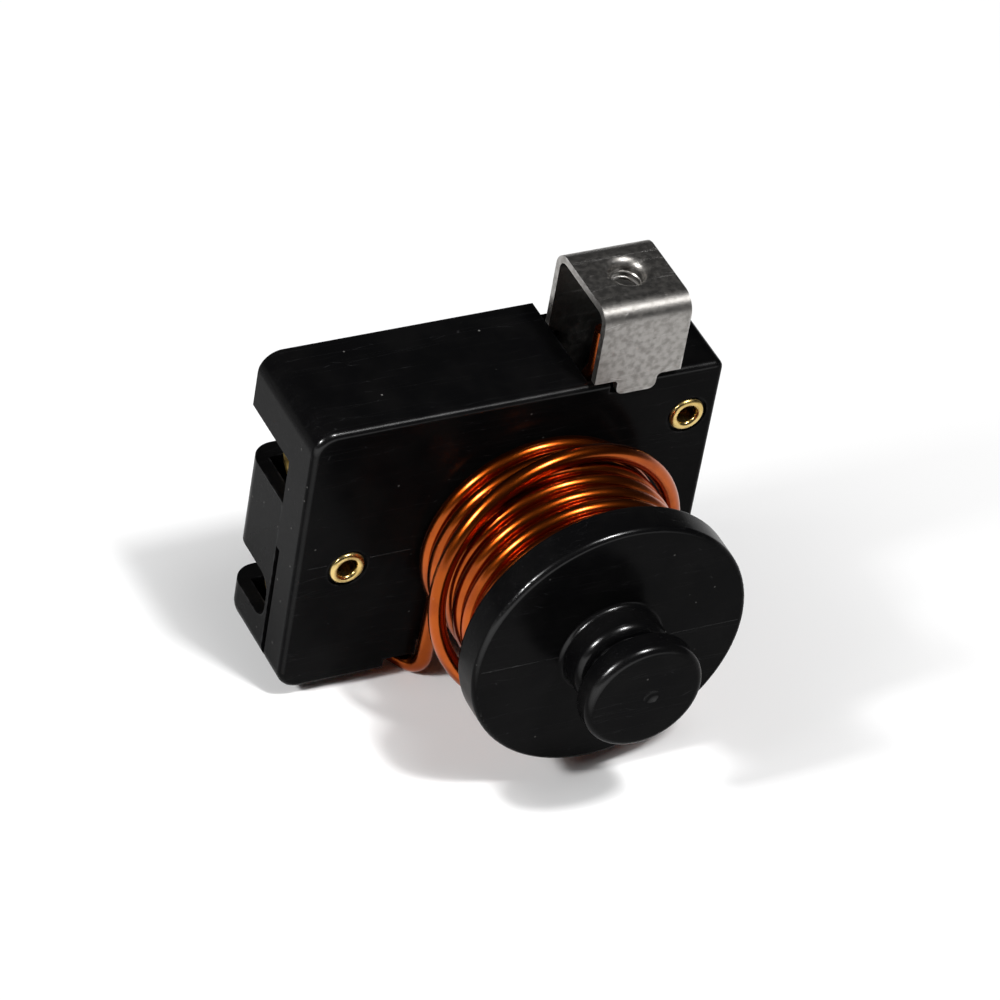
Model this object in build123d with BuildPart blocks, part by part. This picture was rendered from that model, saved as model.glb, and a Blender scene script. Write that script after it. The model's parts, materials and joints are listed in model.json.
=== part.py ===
from build123d import *

import os
from math import cos, radians, sin

# A current relay for a small refrigeration compressor. It plugs onto two of the compressor's
# pins with its left end, where X = 0. The origin lies on that end, midway between the pins.
# X runs along the body, the coil points along -Y and the screw terminal stands up along +Z.
# In use the relay hangs with the coil down, so the plunger rises along +Y.

# Compressor pins
PIN_SPACING = 16.2
PIN_RADIUS = 1.6

# Housing
BODY_LENGTH = 45.0
BODY_DEPTH = 13.7
FRONT = -7.3
BACK = FRONT + BODY_DEPTH
TOP = 17.4
BOTTOM = -15.8
WALL = 1.5
PLATE = 1.8
BACK_WALL = 2.15
PARTING = FRONT + 4.7
INSIDE_FRONT = FRONT + PLATE
INSIDE_BACK = BACK - BACK_WALL
INSIDE_TOP = TOP - WALL
INSIDE_BOTTOM = BOTTOM + WALL
INSIDE_RIGHT = BODY_LENGTH - WALL
FIT_GAP = 0.05
LEFT_EDGE_RADIUS = 2.4
RIGHT_EDGE_RADIUS = 1.0
FACE_EDGE_RADIUS = 0.7

# Pin slots in the left end
SLOT_WIDTH = 5.4
SLOT_BOTTOM = -2.1
SLOT_REACH = 4.0
SLOT_CORNER_RADIUS = 1.9
PIN_HEIGHTS = (PIN_SPACING / 2, -PIN_SPACING / 2)
UPPER_LOBE_BOTTOM = PIN_HEIGHTS[0] + SLOT_WIDTH / 2
LOBE_EDGE_RADIUS = 2.6
GROOVE_WIDTH = 0.8
GROOVE_DEPTH = 0.8
GROOVE_TOP = -0.2

# Bobbin, flange and boss, all turned about the coil axis
COIL_X = 25.7
COIL_Z = 0.4
CORE_RADIUS = 10.6
CORE_LENGTH = 15.0
FLANGE_RADIUS = 14.9
FLANGE_THICKNESS = 3.9
FLANGE_BACK = FRONT - CORE_LENGTH
FLANGE_FRONT = FLANGE_BACK - FLANGE_THICKNESS
BOSS_ROOT_RADIUS = 5.3
BOSS_ROOT_LENGTH = 3.4
BOSS_NECK_RADIUS = 4.2
BOSS_NECK_LENGTH = 1.5
BOSS_CAP_RADIUS = 6.35
BOSS_CAP_LENGTH = 3.0
FLANGE_EDGE_RADIUS = 0.6
BOSS_INNER_EDGE_RADIUS = 0.5
BOSS_SHOULDER_RADIUS = 1.0
BOSS_CAP_EDGE_RADIUS = 0.85
BOSS_NECK_START = FLANGE_FRONT - BOSS_ROOT_LENGTH
BOSS_CAP_START = BOSS_NECK_START - BOSS_NECK_LENGTH
BOSS_END = BOSS_CAP_START - BOSS_CAP_LENGTH
GATE_MARK_X = COIL_X + 0.6
GATE_MARK_RADIUS = 0.9
GATE_MARK_DEPTH = 0.25
BORE_RADIUS = 5.6
BORE_BOTTOM = FLANGE_FRONT + 1.5
GUIDE_RADIUS = 1.56
GUIDE_BOTTOM = BOSS_END + 1.8

# Winding
WIRE_RADIUS = 0.9
TURN_CLEARANCE = 0.1
INNER_TURN_RADIUS = CORE_RADIUS + TURN_CLEARANCE + WIRE_RADIUS
OUTER_TURN_RADIUS = INNER_TURN_RADIUS + 2 * (WIRE_RADIUS + TURN_CLEARANCE)
START_ANGLE = 206
INNER_DEGREES = 2402
CROSSING_DEGREES = 234
CROSSING_STEPS = 26
OUTER_DEGREES = 110
INNER_END_ANGLE = START_ANGLE - INNER_DEGREES
CROSSING_END_ANGLE = INNER_END_ANGLE - CROSSING_DEGREES
OUTER_END_ANGLE = CROSSING_END_ANGLE - OUTER_DEGREES
FIRST_TURN_Y = FRONT - WIRE_RADIUS - FIT_GAP
LAST_TURN_Y = FLANGE_BACK + WIRE_RADIUS + 0.12
OUTER_TURN_Y = FRONT - 4.6
CLIMB_SHARE = 0.25
TRAVEL_START = 0.15
LEAD_BEND = 2.0
LEAD_FRONT_X = 15.6
LEAD_BOTTOM = BOTTOM - 0.1
RUN_LEAD_X = 11.8
UPPER_LEAD_RUN = 2.5
UPPER_LEAD_X = BODY_LENGTH - 14.1
UPPER_LEAD_Y = -4.5
UPPER_LEAD_TURN = 9.0
UPPER_LEAD_TOP = 23.5
UPPER_LEAD_BEND = 1.6

# Sheet metal
STRIP = 0.7
STRIP_FRONT = INSIDE_BACK - STRIP
STRIP_WIDTH = 4.0
BRACKET_SHEET = 0.8
BRACKET_WIDTH = 9.6
BRACKET_X = BODY_LENGTH - 10.2
BRACKET_FRONT = FRONT - 0.35
BRACKET_BACK = STRIP_FRONT
BRACKET_TOP = 26.7
BRACKET_BEND = 2.0
BRACKET_SHOULDER = TOP + 0.5
TAB_WIDTH = 4.4
TAB_BOTTOM = 16.1
TAB_CORNER_RADIUS = 0.8
TAB_ROOT_RADIUS = 0.5
BACK_LEG_BOTTOM = 9.4
SCREW_HOLE_RADIUS = 1.65
SCREW_COLLAR_RADIUS = 2.35
SCREW_COLLAR_LENGTH = 2.4
SCREW_X = BRACKET_X + 0.3
SCREW_Y = -1.7
SCREW_MOUTH_RADIUS = 1.0
TONGUE_WIDTH = 7.0
TAB_CLEARANCE = 0.5
LINE_STRIP_TOP = 14.0
POCKET_X = (BRACKET_X - BRACKET_WIDTH / 2 - 0.1, BRACKET_X + BRACKET_WIDTH / 2 + 0.3)
POCKET_HOLE_X = (POCKET_X[0], BRACKET_X + 4.4)
POCKET_FLOOR = TOP - 0.8
POCKET_LEG_FRONT = 2.2

# Contacts
CONTACT_OFFSET = 6.5
BUTTON_RADIUS = 2.0
BUTTON_SHANK_RADIUS = 1.0
FIXED_BUTTON_HEIGHT = 0.9
BRIDGE_BUTTON_HEIGHT = 0.8
CONTACT_TRAVEL = 2.5
BRIDGE_SHEET = 0.8
BRIDGE_WIDTH = 5.0
BRIDGE_LENGTH = 17.6
BUTTON_EDGE_RADIUS = 0.3
BRIDGE_BACK = STRIP_FRONT - FIXED_BUTTON_HEIGHT - CONTACT_TRAVEL - BRIDGE_BUTTON_HEIGHT
BRIDGE_FRONT = BRIDGE_BACK - BRIDGE_SHEET
BUSH_RADIUS = 2.0
BUSH_FLANGE_RADIUS = 3.2
BUSH_FLANGE = 0.6
BUSH_FRONT = BRIDGE_FRONT - BUSH_FLANGE
BUSH_BACK = BRIDGE_BACK + 0.2

# Plunger
ROD_RADIUS = 1.5
ROD_FRONT = GUIDE_BOTTOM + 1.0
ROD_BACK = BUSH_BACK + 1.35
GROOVE_RADIUS = 1.1
CLIP_RADIUS = 2.8
CLIP_THICKNESS = 0.6
IRON_RADIUS = 5.3
IRON_LENGTH = 11.0
CUSHION_THICKNESS = 0.8
IRON_FRONT = BORE_BOTTOM + CUSHION_THICKNESS
GUIDE_PLATE_RADIUS = 6.6
GUIDE_PLATE_THICKNESS = 1.2
COLLAR_RADIUS = 3.2
COLLAR_THICKNESS = 0.75
COLLAR_FRONT = INSIDE_FRONT + 0.3
COLLAR_BACK = COLLAR_FRONT + COLLAR_THICKNESS
SPRING_WIRE_RADIUS = 0.2
SPRING_RADIUS = 2.3
SPRING_TURNS = 3
IRON_CHAMFER = 0.4
ROD_CHAMFER = 0.3

# Receptacles
RECEPTACLE_WALL = 0.5
RECEPTACLE_RADIUS = PIN_RADIUS + RECEPTACLE_WALL
RECEPTACLE_START = 2.0
RECEPTACLE_END = 10.2
MOUTH_RADIUS = 2.6
MOUTH_LENGTH = 1.2
SEAM = 0.5
BAND_START = 5.4
BAND_WIDTH = 2.2
BAND_THICKNESS = 0.4
CRADLE_WIDTH = 1.2
CRADLE_STARTS = (3.6, 8.4)

# Rivets
RIVET_PLACES = ((5.75, -0.6), (BODY_LENGTH - 3.3, 11.2))
RIVET_SHANK_RADIUS = 1.45
RIVET_BORE_RADIUS = 1.05
RIVET_RIM_RADIUS = 1.9
RIVET_RIM_HEIGHT = 0.5
RIVET_SEAT_RADIUS = 2.2
RIVET_SEAT_DEPTH = 0.3
RIVET_RIM_EDGE_RADIUS = 0.4
PILLAR_RADIUS = 2.7

# Wire passages
LEAD_SLOT = (11.6, 16.7)
LEAD_NOTCH = (15.0, 21.5)
LEAD_NOTCH_TOP = -12.4
LEAD_SLOT_BACK = -0.6
EXIT_ANGLE = radians(OUTER_END_ANGLE)
WIRE_HOLE_X = COIL_X + OUTER_TURN_RADIUS * cos(EXIT_ANGLE) + UPPER_LEAD_RUN * sin(EXIT_ANGLE)
WIRE_HOLE_Z = COIL_Z + OUTER_TURN_RADIUS * sin(EXIT_ANGLE) - UPPER_LEAD_RUN * cos(EXIT_ANGLE)
WIRE_HOLE_RADIUS = 1.15

os.makedirs("parts", exist_ok=True)


def facing_front(y):
    """Plane across the body at the given Y, drawn as seen from the coil side."""
    return Plane.XZ.offset(-y)


def facing_end(x):
    """Plane across the body at the given X, with local X along +Y and local Y along +Z."""
    return Plane.YZ.offset(x)


def axis_along_y(x, z):
    """An axis parallel to Y through the given place."""
    return Axis((x, 0, z), (0, 1, 0))


def block(x_range, y_range, z_range, mode=Mode.ADD):
    """Adds or cuts a box between three pairs of limits."""
    limits = (x_range, y_range, z_range)
    middle = tuple((low + high) / 2 for low, high in limits)
    size = tuple(high - low for low, high in limits)
    with Locations(middle):
        Box(*size, mode=mode)


def bar_along_y(x, z, radius, y_range, mode=Mode.ADD):
    """Adds or cuts a cylinder that runs along Y."""
    with BuildSketch(facing_front(y_range[1])) as section:
        with Locations((x, z)):
            Circle(radius)
    extrude(section.sketch, amount=y_range[1] - y_range[0], mode=mode)


def bar_along_x(y, z, radius, x_range, mode=Mode.ADD):
    """Adds or cuts a cylinder that runs along X."""
    with BuildSketch(facing_end(x_range[0])) as section:
        with Locations((y, z)):
            Circle(radius)
    extrude(section.sketch, amount=x_range[1] - x_range[0], mode=mode)


def body_outline(y):
    """Sketch of the body's outline as seen from the front."""
    with BuildSketch(facing_front(y)) as outline:
        with Locations((BODY_LENGTH / 2, (TOP + BOTTOM) / 2)):
            Rectangle(BODY_LENGTH, TOP - BOTTOM)
        columns = outline.vertices().group_by(Axis.X)
        fillet(columns[0], LEFT_EDGE_RADIUS)
        fillet(outline.vertices().group_by(Axis.X)[-1], RIGHT_EDGE_RADIUS)
    return outline.sketch


def round_corners(sketch, plane_points, radius):
    """Rounds the corners of the sketch that lie nearest to the given points of its plane."""
    corners = [sketch.vertices().sort_by_distance(point)[0] for point in plane_points]
    fillet(corners, radius)


def cut_rivet_passages():
    """Cuts the two rivet holes and the shallow seats under the rims in front and behind."""
    for x, z in RIVET_PLACES:
        bar_along_y(x, z, RIVET_SHANK_RADIUS + FIT_GAP, (FRONT - 1, BACK + 1), mode=Mode.SUBTRACT)
        for face_y in (FRONT, BACK):
            seat_limits = (face_y - RIVET_SEAT_DEPTH, face_y + RIVET_SEAT_DEPTH)
            bar_along_y(x, z, RIVET_SEAT_RADIUS, seat_limits, mode=Mode.SUBTRACT)


def cut_lead_slot():
    """Cuts the slot through which the lower coil lead goes up into the housing."""
    block(LEAD_SLOT, (FRONT - 1, LEAD_SLOT_BACK), (BOTTOM - 1, INSIDE_BOTTOM), mode=Mode.SUBTRACT)


# Coil housing: front plate, top wall, right wall, upper lobe, bobbin, flange and boss in one moulding
with BuildPart() as coil_housing:
    extrude(body_outline(BACK), amount=BODY_DEPTH)
    fillet(coil_housing.faces().sort_by(Axis.Y)[0].edges(), FACE_EDGE_RADIUS)
    block((WALL, INSIDE_RIGHT), (INSIDE_FRONT, BACK + 1), (INSIDE_BOTTOM, INSIDE_TOP), mode=Mode.SUBTRACT)
    block((WALL, INSIDE_RIGHT), (PARTING, BACK + 1), (BOTTOM - 1, INSIDE_TOP), mode=Mode.SUBTRACT)
    block((-1, WALL + 1), (PARTING, BACK + 1), (BOTTOM - 1, UPPER_LOBE_BOTTOM), mode=Mode.SUBTRACT)
    # Posts around the rivets, and two cradles under each receptacle
    for rivet_x, rivet_z in RIVET_PLACES:
        bar_along_y(rivet_x, rivet_z, PILLAR_RADIUS, (INSIDE_FRONT, PARTING))
    for pin_z in PIN_HEIGHTS:
        for cradle_x in CRADLE_STARTS:
            cradle_height = (pin_z - MOUTH_RADIUS, pin_z + MOUTH_RADIUS)
            block((cradle_x, cradle_x + CRADLE_WIDTH), (INSIDE_FRONT, 0), cradle_height)
        bar_along_x(0, pin_z, RECEPTACLE_RADIUS, (RECEPTACLE_START, RECEPTACLE_END), mode=Mode.SUBTRACT)
    # Bobbin core, flange and boss
    with BuildSketch(Plane.XY.offset(COIL_Z)) as bobbin_profile:
        with BuildLine():
            Polyline(
                (COIL_X, INSIDE_FRONT),
                (COIL_X + CORE_RADIUS, INSIDE_FRONT),
                (COIL_X + CORE_RADIUS, FLANGE_BACK),
                (COIL_X + FLANGE_RADIUS, FLANGE_BACK),
                (COIL_X + FLANGE_RADIUS, FLANGE_FRONT),
                (COIL_X + BOSS_ROOT_RADIUS, FLANGE_FRONT),
                (COIL_X + BOSS_ROOT_RADIUS, BOSS_NECK_START),
                (COIL_X + BOSS_NECK_RADIUS, BOSS_NECK_START),
                (COIL_X + BOSS_NECK_RADIUS, BOSS_CAP_START),
                (COIL_X + BOSS_CAP_RADIUS, BOSS_CAP_START),
                (COIL_X + BOSS_CAP_RADIUS, BOSS_END),
                (COIL_X, BOSS_END),
                close=True,
            )
        make_face()
        flange_rim = [(COIL_X + FLANGE_RADIUS, y, COIL_Z) for y in (FLANGE_BACK, FLANGE_FRONT)]
        round_corners(bobbin_profile, flange_rim, FLANGE_EDGE_RADIUS)
        boss_root = [
            (COIL_X + BOSS_ROOT_RADIUS, FLANGE_FRONT, COIL_Z),
            (COIL_X + BOSS_NECK_RADIUS, BOSS_CAP_START, COIL_Z),
        ]
        round_corners(bobbin_profile, boss_root, BOSS_INNER_EDGE_RADIUS)
        boss_shoulder = [(COIL_X + BOSS_ROOT_RADIUS, BOSS_NECK_START, COIL_Z)]
        round_corners(bobbin_profile, boss_shoulder, BOSS_SHOULDER_RADIUS)
        boss_cap = [(COIL_X + BOSS_CAP_RADIUS, y, COIL_Z) for y in (BOSS_CAP_START, BOSS_END)]
        round_corners(bobbin_profile, boss_cap, BOSS_CAP_EDGE_RADIUS)
    revolve(axis=axis_along_y(COIL_X, COIL_Z))
    # Shallow mark of the mould's gate in the end of the boss
    gate_ball_radius = (GATE_MARK_RADIUS**2 + GATE_MARK_DEPTH**2) / (2 * GATE_MARK_DEPTH)
    with Locations((GATE_MARK_X, BOSS_END + GATE_MARK_DEPTH - gate_ball_radius, COIL_Z)):
        Sphere(gate_ball_radius, mode=Mode.SUBTRACT)
    # Bore for the plunger, seat for its guide plate, blind hole for its rod
    bar_along_y(COIL_X, COIL_Z, BORE_RADIUS, (BORE_BOTTOM, INSIDE_FRONT), mode=Mode.SUBTRACT)
    guide_plate_seat = (INSIDE_FRONT - GUIDE_PLATE_THICKNESS, INSIDE_FRONT)
    bar_along_y(COIL_X, COIL_Z, GUIDE_PLATE_RADIUS, guide_plate_seat, mode=Mode.SUBTRACT)
    bar_along_y(COIL_X, COIL_Z, GUIDE_RADIUS, (GUIDE_BOTTOM, BORE_BOTTOM), mode=Mode.SUBTRACT)
    # Pocket for the terminal bracket, open through the top and to the back
    block(POCKET_X, (FRONT + PLATE / 2, BACK + 1), (POCKET_FLOOR, TOP + 1), mode=Mode.SUBTRACT)
    block(POCKET_X, (POCKET_LEG_FRONT, BACK + 1), (INSIDE_TOP - 1, TOP + 1), mode=Mode.SUBTRACT)
    block(POCKET_HOLE_X, (FRONT + PLATE / 2, BACK + 1), (INSIDE_TOP - 1, TOP + 1), mode=Mode.SUBTRACT)
    tab_notch = (BRACKET_X - TAB_WIDTH / 2 - TAB_CLEARANCE, BRACKET_X + TAB_WIDTH / 2)
    block(tab_notch, (FRONT - 1, INSIDE_FRONT), (TAB_BOTTOM, TOP + 1), mode=Mode.SUBTRACT)
    # Wire passages: slot and notch in the bottom edge, hole beside the core
    cut_lead_slot()
    block(LEAD_NOTCH, (FRONT - 1, PARTING), (BOTTOM - 1, LEAD_NOTCH_TOP), mode=Mode.SUBTRACT)
    bar_along_y(WIRE_HOLE_X, WIRE_HOLE_Z, WIRE_HOLE_RADIUS, (FRONT - 1, INSIDE_FRONT), mode=Mode.SUBTRACT)
    # Joint groove in the left end, below the moulding's middle
    block((-1, GROOVE_DEPTH), (PARTING - GROOVE_WIDTH, PARTING), (BOTTOM - 1, GROOVE_TOP), mode=Mode.SUBTRACT)
    cut_rivet_passages()
coil_housing.part.label = "coil_housing"

# Rear cover: back wall, bottom wall, middle lobe and lower lobe
with BuildPart() as rear_cover:
    extrude(body_outline(BACK), amount=BACK - PARTING)
    back_bottom_edge = rear_cover.edges().filter_by(Axis.X).sort_by_distance((COIL_X, BACK, BOTTOM))[0]
    fillet(back_bottom_edge, LOBE_EDGE_RADIUS)
    block((WALL, BODY_LENGTH + 1), (PARTING - 1, INSIDE_BACK), (INSIDE_BOTTOM, TOP + 1), mode=Mode.SUBTRACT)
    # Posts around the rivets, and one rib over each receptacle
    for rivet_x, rivet_z in RIVET_PLACES:
        bar_along_y(rivet_x, rivet_z, PILLAR_RADIUS, (PARTING, INSIDE_BACK))
    for pin_z in PIN_HEIGHTS:
        rib_height = (pin_z - MOUTH_RADIUS, pin_z + MOUTH_RADIUS)
        block((CRADLE_STARTS[1], CRADLE_STARTS[1] + CRADLE_WIDTH), (0.3, INSIDE_BACK), rib_height)
        bar_along_x(0, pin_z, RECEPTACLE_RADIUS, (RECEPTACLE_START, RECEPTACLE_END), mode=Mode.SUBTRACT)
    # Room for the top wall, the right wall and the upper lobe of the coil housing
    all_y = (PARTING - 1, BACK + 1)
    block((-1, BODY_LENGTH + 1), all_y, (INSIDE_TOP - FIT_GAP, TOP + 1), mode=Mode.SUBTRACT)
    block((INSIDE_RIGHT - FIT_GAP, BODY_LENGTH + 1), all_y, (BOTTOM - 1, TOP + 1), mode=Mode.SUBTRACT)
    block((-1, WALL + FIT_GAP), all_y, (UPPER_LOBE_BOTTOM - FIT_GAP, TOP + 1), mode=Mode.SUBTRACT)
    # Pin slots, open to the back
    start_slot = (PIN_HEIGHTS[0] - SLOT_WIDTH / 2, PIN_HEIGHTS[0] + SLOT_WIDTH / 2)
    block((-1, SLOT_REACH), all_y, start_slot, mode=Mode.SUBTRACT)
    with BuildSketch(facing_end(-1)) as run_slot:
        with Locations(((SLOT_BOTTOM + BACK + SLOT_WIDTH) / 2, PIN_HEIGHTS[1])):
            RectangleRounded(BACK + SLOT_WIDTH - SLOT_BOTTOM, SLOT_WIDTH, SLOT_CORNER_RADIUS)
    extrude(run_slot.sketch, amount=SLOT_REACH + 1, mode=Mode.SUBTRACT)
    cut_lead_slot()
    cut_rivet_passages()
rear_cover.part.label = "rear_cover"


# Coil winding: one wire with its lower lead, inner turns, crossing turn and upper lead
def on_coil(turned, radius, y):
    """A point around the coil axis; 0 degrees is on the right, 90 at the top."""
    angle = radians(turned)
    return (COIL_X + radius * cos(angle), y, COIL_Z + radius * sin(angle))


def eased(share):
    """A share of a move that starts and stops gently, held between 0 and 1."""
    held = min(max(share, 0), 1)
    return held * held * (3 - 2 * held)


def crossing_points():
    """Points from the end of the inner turns up onto them and back towards the plate."""
    points = []
    for step in range(CROSSING_STEPS + 1):
        share = step / CROSSING_STEPS
        climb = eased(share / CLIMB_SHARE)
        travel = eased((share - TRAVEL_START) / (1 - TRAVEL_START))
        radius = INNER_TURN_RADIUS + (OUTER_TURN_RADIUS - INNER_TURN_RADIUS) * climb
        y = LAST_TURN_Y + (OUTER_TURN_Y - LAST_TURN_Y) * travel
        points.append(on_coil(INNER_END_ANGLE - CROSSING_DEGREES * share, radius, y))
    return points


def wire_along(path, **options):
    """Sweeps the wire's round section along one stretch of its path."""
    with BuildSketch(Plane(origin=path @ 0, z_dir=path % 0)) as section:
        Circle(WIRE_RADIUS)
    sweep(section.sketch, path=path, **options)


# The turns go clockwise as seen from the front, starting low on the left next to the plate
start_angle = radians(START_ANGLE)
turn_start = Plane(
    origin=(COIL_X, FIRST_TURN_Y, COIL_Z), x_dir=(cos(start_angle), 0, sin(start_angle)), z_dir=(0, -1, 0)
)
turns_length = FIRST_TURN_Y - LAST_TURN_Y
turn_pitch = turns_length * 360 / INNER_DEGREES
inner_turns = turn_start * Helix(turn_pitch, turns_length, INNER_TURN_RADIUS, lefthand=True)
crossing_end = radians(CROSSING_END_ANGLE)
with BuildPart() as coil_winding:
    lead_start = inner_turns @ 0
    with BuildLine(mode=Mode.PRIVATE):
        lower_lead = FilletPolyline(
            (RUN_LEAD_X, 0, PIN_HEIGHTS[1] + MOUTH_RADIUS),
            (RUN_LEAD_X, 0, INSIDE_BOTTOM + 2.8),
            (RUN_LEAD_X + 1.4, PARTING - 1.4, LEAD_BOTTOM),
            (LEAD_FRONT_X, FIRST_TURN_Y, LEAD_BOTTOM),
            lead_start - (inner_turns % 0) * 1.3,
            lead_start,
            radius=LEAD_BEND,
        )
    with BuildLine(mode=Mode.PRIVATE):
        crossing_directions = [inner_turns % 1, (sin(crossing_end), 0, -cos(crossing_end))]
        crossing = Spline(*crossing_points(), tangents=crossing_directions)
    with BuildLine(mode=Mode.PRIVATE):
        outer_angles = (CROSSING_END_ANGLE, (CROSSING_END_ANGLE + OUTER_END_ANGLE) / 2, OUTER_END_ANGLE)
        outer_turn = ThreePointArc(*[on_coil(angle, OUTER_TURN_RADIUS, OUTER_TURN_Y) for angle in outer_angles])
    with BuildLine(mode=Mode.PRIVATE):
        leg_y = BRACKET_FRONT + BRACKET_SHEET + WIRE_RADIUS
        upper_lead = FilletPolyline(
            outer_turn @ 1,
            (WIRE_HOLE_X, OUTER_TURN_Y, WIRE_HOLE_Z),
            (WIRE_HOLE_X, UPPER_LEAD_Y, WIRE_HOLE_Z),
            (WIRE_HOLE_X, UPPER_LEAD_Y, UPPER_LEAD_TURN),
            (UPPER_LEAD_X, UPPER_LEAD_Y, UPPER_LEAD_TURN + 5),
            (UPPER_LEAD_X, UPPER_LEAD_Y, TOP - 1.4),
            (UPPER_LEAD_X, leg_y, TOP + 1.2),
            (UPPER_LEAD_X, leg_y, UPPER_LEAD_TOP),
            radius=UPPER_LEAD_BEND,
        )
    wire_along(lower_lead)
    wire_along(inner_turns)
    wire_along(crossing, is_frenet=True)
    wire_along(outer_turn)
    wire_along(upper_lead)
coil_winding.part.label = "coil_winding"

# Terminal bracket: bent sheet with a drawn and tapped collar, a front tab and a back tongue
with BuildPart() as line_bracket:
    with BuildSketch(facing_end(BRACKET_X - BRACKET_WIDTH / 2)):
        with BuildLine():
            front_leg_y = BRACKET_FRONT + BRACKET_SHEET / 2
            back_leg_y = BRACKET_BACK - BRACKET_SHEET / 2
            FilletPolyline(
                (front_leg_y, TAB_BOTTOM),
                (front_leg_y, BRACKET_TOP - BRACKET_SHEET / 2),
                (back_leg_y, BRACKET_TOP - BRACKET_SHEET / 2),
                (back_leg_y, BACK_LEG_BOTTOM),
                radius=BRACKET_BEND - BRACKET_SHEET / 2,
            )
        trace(line_width=BRACKET_SHEET)
    extrude(amount=BRACKET_WIDTH)
    # The legs narrow to a tab in front and to a tongue behind
    front_leg = (BRACKET_FRONT - 1, BRACKET_FRONT + BRACKET_SHEET + 1)
    back_leg = (BRACKET_BACK - BRACKET_SHEET - 1, BRACKET_BACK + 1)
    for side in (-1, 1):
        outer = BRACKET_X + side * (BRACKET_WIDTH / 2 + 1)
        beside_tab = sorted((BRACKET_X + side * TAB_WIDTH / 2, outer))
        block(beside_tab, front_leg, (TAB_BOTTOM - 1, BRACKET_SHOULDER), mode=Mode.SUBTRACT)
        beside_tongue = sorted((BRACKET_X + side * TONGUE_WIDTH / 2, outer))
        block(beside_tongue, back_leg, (BACK_LEG_BOTTOM - 1, INSIDE_TOP + 0.5), mode=Mode.SUBTRACT)
    for height, radius in ((TAB_BOTTOM, TAB_CORNER_RADIUS), (BRACKET_SHOULDER, TAB_ROOT_RADIUS)):
        for side in (-1, 1):
            corner = (BRACKET_X + side * TAB_WIDTH / 2, front_leg_y, height)
            fillet(line_bracket.edges().filter_by(Axis.Y).sort_by_distance(corner)[0], radius)
    with BuildSketch(Plane.XY.offset(BRACKET_TOP - SCREW_COLLAR_LENGTH)):
        with Locations((SCREW_X, SCREW_Y)):
            Circle(SCREW_COLLAR_RADIUS)
    extrude(amount=SCREW_COLLAR_LENGTH)
    with BuildSketch(Plane.XY.offset(BRACKET_TOP - SCREW_COLLAR_LENGTH)):
        with Locations((SCREW_X, SCREW_Y)):
            Circle(SCREW_HOLE_RADIUS)
    extrude(amount=SCREW_COLLAR_LENGTH, mode=Mode.SUBTRACT)
    hole_mouth = line_bracket.edges().filter_by(GeomType.CIRCLE).sort_by_distance(
        (SCREW_X, SCREW_Y, BRACKET_TOP)
    )[0]
    fillet(hole_mouth, SCREW_MOUTH_RADIUS)
line_bracket.part.label = "line_bracket"

# Line contact strip: carries one fixed contact and lies against the bracket's tongue
with BuildPart() as line_contact_strip:
    with BuildSketch(facing_front(INSIDE_BACK)):
        strip_end = LINE_STRIP_TOP - COIL_Z
        with Locations((COIL_X + CONTACT_OFFSET, COIL_Z + strip_end / 2)):
            Rectangle(STRIP_WIDTH, strip_end)
        with Locations((COIL_X + CONTACT_OFFSET, COIL_Z)):
            Circle(STRIP_WIDTH / 2)
            Circle(BUTTON_SHANK_RADIUS, mode=Mode.SUBTRACT)
    extrude(amount=STRIP)
line_contact_strip.part.label = "line_contact_strip"

# Start contact strip: carries the other fixed contact, its foot is welded to the start receptacle
with BuildPart() as start_contact_strip:
    contact_x = COIL_X - CONTACT_OFFSET
    strip_run = contact_x - RECEPTACLE_END
    with BuildSketch(facing_front(INSIDE_BACK)):
        with Locations((RECEPTACLE_END + strip_run / 2, PIN_HEIGHTS[0])):
            Rectangle(strip_run, STRIP_WIDTH)
        with Locations((contact_x, (COIL_Z + PIN_HEIGHTS[0]) / 2)):
            SlotCenterToCenter(PIN_HEIGHTS[0] - COIL_Z, STRIP_WIDTH, rotation=90)
        with Locations((contact_x, COIL_Z)):
            Circle(BUTTON_SHANK_RADIUS, mode=Mode.SUBTRACT)
    extrude(amount=STRIP)
    foot_height = (PIN_HEIGHTS[0] - STRIP_WIDTH / 2, PIN_HEIGHTS[0] + STRIP_WIDTH / 2)
    block((RECEPTACLE_END, RECEPTACLE_END + STRIP), (-RECEPTACLE_RADIUS, STRIP_FRONT), foot_height)
start_contact_strip.part.label = "start_contact_strip"


def fixed_button(x, label):
    """A rivet-shaped contact: its head faces the coil and its shank fills the hole of a strip."""
    with BuildPart() as button:
        bar_along_y(x, COIL_Z, BUTTON_RADIUS, (STRIP_FRONT - FIXED_BUTTON_HEIGHT, STRIP_FRONT))
        fillet(button.edges().group_by(Axis.Y)[0], BUTTON_EDGE_RADIUS)
        bar_along_y(x, COIL_Z, BUTTON_SHANK_RADIUS, (STRIP_FRONT, INSIDE_BACK))
    button.part.label = label
    return button.part


line_contact_button = fixed_button(COIL_X + CONTACT_OFFSET, "line_contact_button")
start_contact_button = fixed_button(COIL_X - CONTACT_OFFSET, "start_contact_button")

# Contact bridge: joins the two fixed contacts when the plunger lifts it
with BuildPart() as contact_bridge:
    with BuildSketch(facing_front(BRIDGE_BACK)):
        with Locations((COIL_X, COIL_Z)):
            RectangleRounded(BRIDGE_LENGTH, BRIDGE_WIDTH, BRIDGE_WIDTH / 2 - 0.1)
            Circle(BUSH_RADIUS, mode=Mode.SUBTRACT)
        with Locations((COIL_X - CONTACT_OFFSET, COIL_Z), (COIL_X + CONTACT_OFFSET, COIL_Z)):
            Circle(BUTTON_SHANK_RADIUS, mode=Mode.SUBTRACT)
    extrude(amount=BRIDGE_SHEET)
contact_bridge.part.label = "contact_bridge"

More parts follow.
